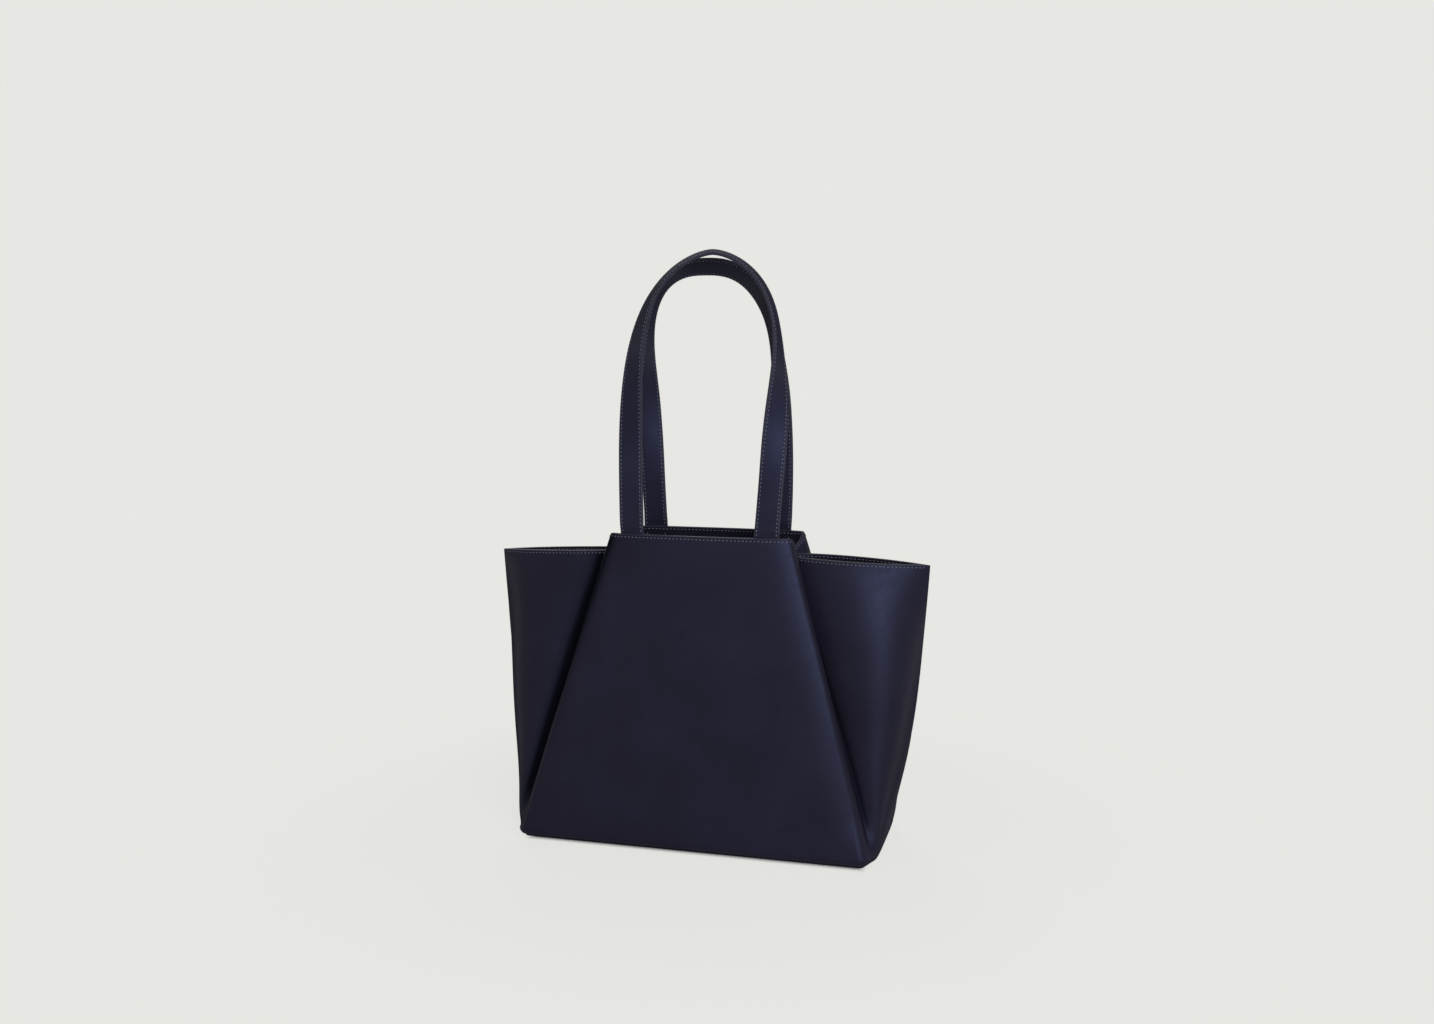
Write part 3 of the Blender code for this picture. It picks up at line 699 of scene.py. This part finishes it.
def strapStations(strap):
    # distance along, middle, width direction towards the arch's inside, face direction
    side = strap["side"]
    even, across, up = strapArch(strap)
    slopes = np.stack([np.gradient(across, even), np.zeros(len(even)), np.gradient(up, even)], 1)
    lean = Matrix.Rotation(math.radians(strap["lean"]) * side, 3, "X")
    startZ = wall["rimHeight"] + strapCut["standOff"]
    root = Vector((0, rootDepth(strap, rootX(strap["margin"]), 1), startZ))
    stations = []
    for distance, x, z, slope in zip(even, across, up, slopes):
        place = distance / even[-1]
        tangent = Vector(slope).normalized()
        near = 2 * min(place, 1 - place)
        start, end = strap["leftTwist" if place < 0.5 else "rightTwist"]
        turned = ease((near - start) / (end - start))
        shoulderShare = ease(1 - abs(near - strapCut["shoulderAt"]) / strapCut["shoulderReach"])
        shoulderTurn = strap["shoulderTurn"][0 if place < 0.5 else 1]
        turn = math.radians(strap["topTurn"] * turned + shoulderTurn * shoulderShare)
        turnedIn = ease(near * strap["rise"] / strapHalf / strapCut["turnIn"])
        inwards = Vector((tangent.z, 0, -tangent.x * turnedIn))
        width = math.cos(turn) * inwards.normalized() + math.sin(turn) * Vector((0, side, 0))
        width = lean @ (Matrix.Rotation(math.radians(strap["yaw"]) * turned, 3, "Z") @ width)
        width.normalize()
        face = width.cross(lean @ tangent).normalized()
        stations.append((distance, lean @ Vector((x, 0, z)) + root, width, face))
    return stations


def strapPoint(strap, length, station, u, v):
    # u across the strap, v out of its face; near the rim it lies to the panel
    distance, middle, width, face = station
    free = middle + width * u + face * v
    near = min(distance, length - distance)
    hold = 1 - ease(near / strapCut["follow"])
    if hold <= 0:
        return free
    x = middle.x + math.copysign(u, width.x * u) if u else middle.x
    held = Vector((x, rootDepth(strap, x, middle.z) - v, middle.z))
    return free.lerp(held, hold)


def strapThickness(length, distance):
    near = min(distance, length - distance)
    return mix(strapCut["tabHalfThickness"], strapCut["halfThickness"], ease(near / strapCut["swell"]))


def strapSection(half):
    # closed outline of the cut strap: crowned faces with a stitch groove each side, rounded painted edges
    seam = strapHalf - strapCut["seamInset"]
    side = [seam + offset for offset in strapCut["grooveSteps"]]
    across = [-x for x in reversed(side)] + list(strapCut["faceSteps"]) + side
    face = []
    for u in across:
        groove = strapCut["grooveDepth"] * math.exp(-((abs(u) - seam) / strapCut["grooveWidth"]) ** 2)
        crown = strapCut["crown"] * (1 - (u / strapHalf) ** 2)
        face.append((u, half + (crown - groove) * half / strapCut["halfThickness"]))
    edge = []
    for angle in strapCut["edgeAngles"]:
        turned = math.radians(angle)
        out = strapHalf - half * strapCut["edgeDepth"] * (1 - math.cos(turned))
        edge.append((out, half * strapCut["edgeHeight"] * math.sin(turned)))
    points = face + edge + [(u, -v) for u, v in reversed(face)] + [(-u, -v) for u, v in edge]
    painted = set(range(len(face) - 1, len(face) + len(edge) + 1))
    painted |= {index + len(face) + len(edge) for index in painted}
    return points, painted


def tabStations(strap, first, last):
    # the skived ends, sewn in below the rim
    ends = []
    for station in (first, last):
        distance, middle, width = station[:3]
        rows = []
        for down in (*strapCut["tabDrops"], layers["tabHeight"]):
            point = Vector((middle.x, middle.y, middle.z - down))
            rows.append((distance, point, Vector((math.copysign(1, width.x), 0, 0)), Vector((0, -1, 0))))
        ends.append(rows)
    return list(reversed(ends[0])), ends[1]


def makeStrap(name, strap):
    stations = strapStations(strap)
    length = stations[-1][0]
    lowStart, lowEnd = tabStations(strap, stations[0], stations[-1])
    rows = lowStart + stations + lowEnd
    section, painted = strapSection(strapCut["halfThickness"])
    count = len(section)
    build = bmesh.new()
    uv = build.loops.layers.uv.new("UVMap")
    bmesh.ops.create_grid(build, x_segments=count, y_segments=len(rows) - 1, size=1)
    cells = gridCells(build, count, len(rows) - 1)
    runs = runOf([row[1] for row in rows])
    girth = runOf([Vector(point) for point in section + section[:1]])
    for face in build.faces:
        face.material_index = 1 if all(cells[vert][0] in painted for vert in face.verts) else 0
        for loop in face.loops:
            column, row = cells[loop.vert]
            loop[uv].uv = (runs[row], girth[column])
    sections = [strapSection(strapThickness(length, station[0]))[0] for station in rows]
    for vert, (column, row) in cells.items():
        u, v = sections[row][column % count]
        vert.co = strapPoint(strap, length, rows[row], u, v)
    bmesh.ops.remove_doubles(build, verts=build.verts, dist=mergeGap)
    closeUp(build)
    nodes = [name + end for end in ("_handle", "_handle_backing", "_handle_left_tab", "_handle_right_tab")]
    piece = finishPiece(name + "Strap", build, [strapLeather, edgePaint], None, nodes, 50)
    blendStrap(piece, strap)
    return stations


def blendStrap(piece, strap):
    # bakes the piece's place in the world into its mesh
    y = rootDepth(strap, rootX(strap["margin"]), 1)
    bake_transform(piece)


# Stitches: short raised loops of thread, one small ellipsoid each, with a needle hole after it, a flat
# ellipsoid painted dark as the shade in the hole

stitch = {
    "pitch": 0.00375, "length": 0.0026, "width": 0.0008, "height": 0.0006, "slant": 5,
    "lift": 0.00008,       # its middle stands this far above the leather
    "hole": (0.0007, 0.0005, 0.00012),
    "bed": 0.93,           # where a strap's stitches lie, as a share of its half thickness
    "tipMargin": 0.0012,   # a rim seam stops this far before the wing's edge
    "probe": 0.001,        # a step into the wall that tells which way is out
    "boxSteps": 6, "lot": 10,
}


def sewLine(build, points, normals, closed=False):
    # lays stitches along a line of points that have outward normals
    if closed:
        points = points + points[:1]
        normals = normals + normals[:1]
    reach = runOf(points)
    count = max(int(reach[-1] / stitch["pitch"]), 1)
    spacing = reach[-1] / count
    turn = Matrix.Rotation(math.radians(stitch["slant"]), 3, "Z")
    size = Matrix.Diagonal((stitch["length"] / 2, stitch["width"] / 2, stitch["height"] / 2))
    holeSize = Matrix.Diagonal(stitch["hole"])
    index = 0
    part = bmesh.new()
    for number in range(count):
        place = (number + 0.5) * spacing
        while reach[index + 1] < place:
            index += 1
        share = (place - reach[index]) / (reach[index + 1] - reach[index])
        along = (points[index + 1] - points[index]).normalized()
        out = normals[index].lerp(normals[index + 1], share).normalized()
        middle = points[index].lerp(points[index + 1], share) + out * stitch["lift"]
        across = out.cross(along).normalized()
        axes = Matrix((along, across, out)).transposed() @ turn
        placed = Matrix.Translation(middle) @ (axes @ size).to_4x4()
        bmesh.ops.create_uvsphere(part, u_segments=6, v_segments=4, radius=1, matrix=placed)
        # the hole is a flat ellipsoid on the leather, painted dark as the shade in it
        placed = Matrix.Translation(middle + along * spacing / 2) @ (axes @ holeSize).to_4x4()
        hole = bmesh.ops.create_uvsphere(part, u_segments=6, v_segments=4, radius=1, matrix=placed)
        for face in {face for vert in hole["verts"] for face in vert.link_faces}:
            face.material_index = 1
        if (number + 1) % stitch["lot"] == 0 or number == count - 1:
            # handed over in small lots, which is far quicker than one growing bmesh
            lot = bpy.data.meshes.new("lot")
            part.to_mesh(lot)
            build.from_mesh(lot)
            bpy.data.meshes.remove(lot)
            part.clear()
    part.free()


def strapSeams(name, strap, stations):
    build = bmesh.new()
    length = stations[-1][0]
    seam = strapHalf - strapCut["seamInset"]
    for u in (-seam, seam):
        for v in (-1, 1):
            points = []
            normals = []
            for station in stations[1:-1]:
                half = strapThickness(length, station[0])
                points.append(strapPoint(strap, length, station, u, v * half * stitch["bed"]))
                normals.append(station[3] * v)
            sewLine(build, points, normals)
    piece = finishPiece(name + "StrapStitches", build, [thread, needleHoleShade], None, ())
    blendStrap(piece, strap)


for name, strap in straps.items():
    strapSeams(name, strap, makeStrap(name, strap))
print("straps made")


def wallSeam(build, side, level, depth, outwards):
    # a row of stitches along the wall, on its outer face or on the facing inside
    points = []
    normals = []
    for column in range(1, columnCount - 1):
        point = wallPoint(side, column, level, depth)
        if side * point.y > stitch["tipMargin"]:
            deeper = wallPoint(side, column, level, depth + stitch["probe"])
            points.append(point)
            normals.append((point - deeper if outwards else deeper - point).normalized())
    sewLine(build, points, normals)


def sewStraight(build, side, corners, depth, steps):
    # stitches from corner to corner on the flat of a panel's inner face
    for (x0, z0), (x1, z1) in zip(corners, corners[1:]):
        shares = [step / steps for step in range(steps + 1)]
        points = [panelPoint(side, mix(x0, x1, share), mix(z0, z1, share), depth) for share in shares]
        sewLine(build, points, [Vector((0, -side, 0))] * len(points))


for name, side in (("front", -1), ("rear", 1)):
    build = bmesh.new()
    rimLevel = 1 - layers["rimSeam"] / wallHeight
    wallSeam(build, side, rimLevel, layers["shell"][0], True)
    finishPiece(name + "RimStitches", build, [thread, needleHoleShade], "bag_body", ())
    build = bmesh.new()
    wallSeam(build, side, rimLevel, layers["facing"][1], False)
    hemLevel = 1 - (layers["facingHeight"] - layers["hemSeam"]) / wallHeight
    wallSeam(build, side, hemLevel, layers["facing"][1], False)
    x = rootX(straps[name]["margin"])
    seam = strapHalf - strapCut["seamInset"]
    top, low = [wall["rimHeight"] - drop for drop in layers["tabSeam"]]
    for end in (-1, 1):
        left, right = end * x - seam, end * x + seam
        corners = [(left, top), (left, low), (right, low), (right, top)]
        sewStraight(build, side, corners, layers["facing"][1], stitch["boxSteps"])
    finishPiece(name + "FacingStitches", build, [thread, needleHoleShade], "bag_body", ())
print("rim stitches made")


# Slip pocket on the rear lining: a leather panel with a painted top edge, sewn on three sides

pocket = {
    "halfWidth": 0.065, "top": 0.235, "bottom": 0.110, "corner": 0.004,
    "depth": (0.0031, 0.0039), "seamInset": 0.003, "steps": 26, "seamSteps": 30,
}


def makePocket():
    build = bmesh.new()
    uv = build.loops.layers.uv.new("UVMap")
    bmesh.ops.create_grid(build, x_segments=pocket["steps"], y_segments=pocket["steps"], size=1)
    half = pocket["halfWidth"]
    for vert in build.verts:
        vert.co = Vector((vert.co.x * half, 0, mix(pocket["bottom"], pocket["top"], (vert.co.y + 1) / 2)))
    corners = [vert for vert in build.verts
               if abs(vert.co.x) > half - mergeGap and vert.co.z < pocket["bottom"] + mergeGap]
    bmesh.ops.bevel(build, geom=corners, offset=pocket["corner"], segments=4, profile=0.5, affect="VERTICES",
                    material=-1)
    bmesh.ops.recalc_face_normals(build, faces=build.faces)
    flat = build.faces[:]
    thick = pocket["depth"][1] - pocket["depth"][0]
    bmesh.ops.solidify(build, geom=flat, thickness=thick)
    nearY = min(vert.co.y for vert in build.verts)
    for vert in build.verts:
        inner = (vert.co.y - nearY) / thick
        x, z = vert.co.x, vert.co.z
        vert.co = panelPoint(1, x, z, mix(pocket["depth"][1], pocket["depth"][0], inner))
    for face in build.faces:
        face.material_index = 1 if face.calc_center_median().z > pocket["top"] - mergeGap else 0
        for loop in face.loops:
            loop[uv].uv = (loop.vert.co.x, loop.vert.co.z)
    bmesh.ops.recalc_face_normals(build, faces=build.faces)
    finishPiece("slipPocketLeather", build, [facingLeather, edgePaint], "bag_body", ["slip_pocket"])
    build = bmesh.new()
    inset = pocket["seamInset"]
    left, right = -half + inset, half - inset
    low, top = pocket["bottom"] + inset, pocket["top"] - inset
    for corners in ([(left, top), (left, low), (right, low), (right, top)], [(left, top), (right, top)]):
        sewStraight(build, 1, corners, pocket["depth"][1], pocket["seamSteps"])
    finishPiece("pocketStitches", build, [thread, needleHoleShade], "bag_body", ())


makePocket()
print("pocket made")


# Base: leather underneath, cloth inside, four metal feet

base = {
    "panel": {"inset": 0.006, "bottom": 0.004, "thickness": 0.0016, "round": 0.0005},
    "lining": {"inset": 0.0038, "bottom": 0.0112, "thickness": 0.0006, "round": 0.0002},
    "seamInset": 0.004,
    "footX": 0.126, "footY": 0.058,
    # a turned, domed stud from its face up: rolled edge, head and post, as radius and height
    "foot": [(0, 0), (0.0020, 0.00002), (0.0034, 0.0001), (0.0045, 0.0003), (0.0053, 0.0008),
             (0.0058, 0.0014), (0.0060, 0.0021), (0.0060, 0.0027), (0.0058, 0.0032), (0.0054, 0.0036),
             (0.0050, 0.0037), (0.0015, 0.0037), (0.0015, 0.0109), (0, 0.0109)],
    "footTurns": 32,
}


def baseOutline(inset):
    # the foot of the wall, drawn in all round, counterclockwise from the left end
    points, inwards = outlineAt(-1, 0)
    front = [p + n * inset for p, n in zip(points, inwards)][1:-1]
    return front + [Vector((p.x, -p.y)) for p in reversed(front[1:-1])]


def basePlate(name, sizes, material, replaced):
    points = baseOutline(sizes["inset"])
    build = bmesh.new()
    uv = build.loops.layers.uv.new("UVMap")
    bmesh.ops.create_circle(build, cap_ends=True, segments=len(points), radius=1)
    ring = sorted(build.verts, key=lambda vert: math.atan2(vert.co.y, vert.co.x))
    for vert, point in zip(ring, points):
        vert.co = (point.x, point.y, sizes["bottom"])
    grown = bmesh.ops.extrude_face_region(build, geom=build.faces[:])["geom"]
    lifted = [item for item in grown if isinstance(item, bmesh.types.BMVert)]
    bmesh.ops.translate(build, vec=(0, 0, sizes["thickness"]), verts=lifted)
    rim = []
    for edge in build.edges:
        rise = abs(edge.verts[0].co.z - edge.verts[1].co.z)
        if rise < mergeGap and edge.calc_face_angle(0) > math.radians(60):
            rim.append(edge)
    bmesh.ops.bevel(build, geom=rim, offset=sizes["round"], segments=3, profile=0.5, affect="EDGES",
                    material=-1)
    bmesh.ops.recalc_face_normals(build, faces=build.faces)
    for face in build.faces:
        for loop in face.loops:
            loop[uv].uv = (loop.vert.co.x, loop.vert.co.y)
    finishPiece(name, build, [material], "bag_body", [replaced])


def makeFoot(name, x, y):
    build = bmesh.new()
    verts = [build.verts.new((radius, 0, height)) for radius, height in base["foot"]]
    edges = [build.edges.new(pair) for pair in zip(verts, verts[1:])]
    bmesh.ops.spin(build, geom=verts + edges, cent=(0, 0, 0), axis=(0, 0, 1), angle=math.radians(360),
                   steps=base["footTurns"], use_merge=True)
    bmesh.ops.remove_doubles(build, verts=build.verts, dist=mergeGap)
    bmesh.ops.recalc_face_normals(build, faces=build.faces)
    bmesh.ops.translate(build, vec=(x, y, 0), verts=build.verts)
    finishPiece("stud_" + name, build, [nickel], "bag_body", ["foot_" + name])


basePlate("basePanelLeather", base["panel"], baseLeather, "base_panel")
basePlate("baseLiningCloth", base["lining"], liningCloth, "base_lining")
for sideName, side in (("front", -1), ("rear", 1)):
    for endName, end in (("left", -1), ("right", 1)):
        makeFoot(sideName + "_" + endName, end * base["footX"], side * base["footY"])


def makeBaseSeam():
    panel = base["panel"]
    line = baseOutline(panel["inset"] + base["seamInset"])
    points = [Vector((p.x, p.y, panel["bottom"])) for p in line]
    build = bmesh.new()
    sewLine(build, points, [Vector((0, 0, -1))] * len(points), closed=True)
    finishPiece("basePanelStitches", build, [thread, needleHoleShade], "bag_body", ())


makeBaseSeam()
for node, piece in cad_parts.items():
    if node == "base_board" or node.startswith("foot_washer"):
        piece.data.materials.clear()
        piece.data.materials.append(fibreBoard if node == "base_board" else nickel)
print("base made")


# Studio: pale floor, soft light, the camera of the photograph

studio = {
    "background": "#E7E7E3",
    "floorShadow": 0.12,      # how far the floor is lit rather than flat close to the bag
    "shadowReach": (0.24, 0.55),
    "underBag": (0.168, 0.068, 0),   # the floor under the bag keeps its whole shadow
    "underFade": 0.01,
    "floorRadius": 12, "floorDrop": 0.0002,
    "worldStrength": 0.2,
    "lampTarget": (0, 0, 0.25),
    "lamps": [
        {"name": "key", "place": (1.3, -1.45, 0.9), "size": 0.6, "power": 9, "colour": "#EEF2FF"},
        {"name": "fill", "place": (0.72, -1.54, 0.85), "size": 0.9, "power": 31, "colour": "#F6F4FF"},
        {"name": "back", "place": (-0.7, 1.4, 1.3), "size": 1.2, "power": 14, "colour": "#FFFFFF"},
    ],
    "camera": (0.3498, -1.2463, 0.4637),
    "target": (0.0091, 0.0, 0.31969),
    "lens": 33.74, "sensor": 36,
}


def seenDirectly(tree):
    # 1 where the camera, a mirror or a window looks at it, 0 where it only lights things
    path = addNode(tree, "ShaderNodeLightPath")
    first = addNode(tree, "ShaderNodeMath", {"operation": "MAXIMUM"},
                    {0: path.outputs["Is Camera Ray"], 1: path.outputs["Is Glossy Ray"]})
    return addNode(tree, "ShaderNodeMath", {"operation": "MAXIMUM"},
                   {0: first.outputs[0], 1: path.outputs["Is Transmission Ray"]}).outputs[0]


def makeFloor():
    # Painted board, matt and pale: it takes the bag's shadow near it and is flat further off,
    # and it is see-through from below so that the base can be looked at
    material, tree, shader = newMaterial("paleFloorBoard", {
        "Base Color": fromHex(studio["background"]), "Roughness": 0.9, "Specular IOR Level": 0.1})
    flat = addNode(tree, "ShaderNodeEmission", {"Color": fromHex(studio["background"]), "Strength": 1.0})
    place = addNode(tree, "ShaderNodeTexCoord").outputs["Object"]
    away = addNode(tree, "ShaderNodeVectorMath", {"operation": "LENGTH"}, {0: place})
    near, far = studio["shadowReach"]
    lit = addNode(tree, "ShaderNodeMath", {"operation": "SUBTRACT", 0: 1.0},
                  {1: addNode(tree, "ShaderNodeLightPath").outputs["Is Camera Ray"]})
    flatShare = 1 - studio["floorShadow"]
    least = addNode(tree, "ShaderNodeMath",
                    {"operation": "MULTIPLY_ADD", 1: -flatShare, 2: flatShare}, {0: lit.outputs[0]})
    flatness = addNode(tree, "ShaderNodeMapRange",
                       {"interpolation_type": "SMOOTHSTEP", "From Min": near, "From Max": far, "To Max": 1},
                       {"Value": away.outputs["Value"], "To Min": least.outputs[0]})
    apart = addNode(tree, "ShaderNodeVectorMath", {"operation": "ABSOLUTE"}, {0: place})
    beyond = addNode(tree, "ShaderNodeVectorMath", {"operation": "SUBTRACT", 1: studio["underBag"]},
                     {0: apart.outputs[0]})
    sides = addNode(tree, "ShaderNodeSeparateXYZ", {}, {0: beyond.outputs[0]})
    farther = addNode(tree, "ShaderNodeMath",
                      {"operation": "MAXIMUM"}, {0: sides.outputs[0], 1: sides.outputs[1]})
    outside = addNode(tree, "ShaderNodeMapRange",
                      {"From Min": -studio["underFade"], "From Max": 0.0}, {"Value": farther.outputs[0]})
    shown = addNode(tree, "ShaderNodeMath",
                    {"operation": "MULTIPLY"}, {0: flatness.outputs[0], 1: outside.outputs[0]})
    share = addNode(tree, "ShaderNodeMath",
                    {"operation": "MULTIPLY"}, {0: seenDirectly(tree), 1: shown.outputs[0]})
    board = addNode(tree, "ShaderNodeMixShader",
                    {}, {0: share.outputs[0], 1: shader.outputs[0], 2: flat.outputs[0]})
    clear = addNode(tree, "ShaderNodeBsdfTransparent")
    below = addNode(tree, "ShaderNodeNewGeometry").outputs["Backfacing"]
    both = addNode(tree, "ShaderNodeMixShader", {}, {0: below, 1: board.outputs[0], 2: clear.outputs[0]})
    tree.links.new(both.outputs[0], tree.nodes["Material Output"].inputs["Surface"])
    build = bmesh.new()
    bmesh.ops.create_circle(build, cap_ends=True, segments=64, radius=studio["floorRadius"])
    bmesh.ops.translate(build, vec=(0, 0, -studio["floorDrop"]), verts=build.verts)
    mesh = bpy.data.meshes.new("studioFloor")
    build.to_mesh(mesh)
    build.free()
    mesh.materials.append(material)
    floor = bpy.data.objects.new("studioFloor", mesh)
    bpy.context.scene.collection.objects.link(floor)


def makeWorld():
    world = bpy.data.worlds.new("paleRoom")
    bpy.context.scene.world = world
    world.use_nodes = True
    tree = world.node_tree
    soft = tree.nodes["Background"]
    soft.inputs["Color"].default_value = (1, 1, 1, 1)
    soft.inputs["Strength"].default_value = studio["worldStrength"]
    seen = addNode(tree, "ShaderNodeBackground", {"Color": fromHex(studio["background"]), "Strength": 1.0})
    both = addNode(tree, "ShaderNodeMixShader", {},
                   {0: seenDirectly(tree), 1: soft.outputs[0], 2: seen.outputs[0]})
    tree.links.new(both.outputs[0], tree.nodes["World Output"].inputs["Surface"])


def aimAt(thing, place, target):
    thing.location = place
    thing.rotation_euler = (Vector(target) - Vector(place)).to_track_quat("-Z", "Y").to_euler()
    bpy.context.scene.collection.objects.link(thing)


def makeLamps():
    for lamp in studio["lamps"]:
        data = bpy.data.lights.new(lamp["name"], "AREA")
        data.shape = "DISK"
        data.size = lamp["size"]
        data.energy = lamp["power"]
        data.color = fromHex(lamp["colour"])[:3]
        aimAt(bpy.data.objects.new(lamp["name"], data), lamp["place"], studio["lampTarget"])


def makeCamera():
    data = bpy.data.cameras.new("photoCamera")
    data.sensor_width = studio["sensor"]
    data.lens = studio["lens"]
    camera = bpy.data.objects.new("photoCamera", data)
    aimAt(camera, studio["camera"], studio["target"])
    bpy.context.scene.camera = camera


makeFloor()
makeWorld()
makeLamps()
makeCamera()
bpy.context.scene.view_settings.view_transform = "Standard"
print("studio made")
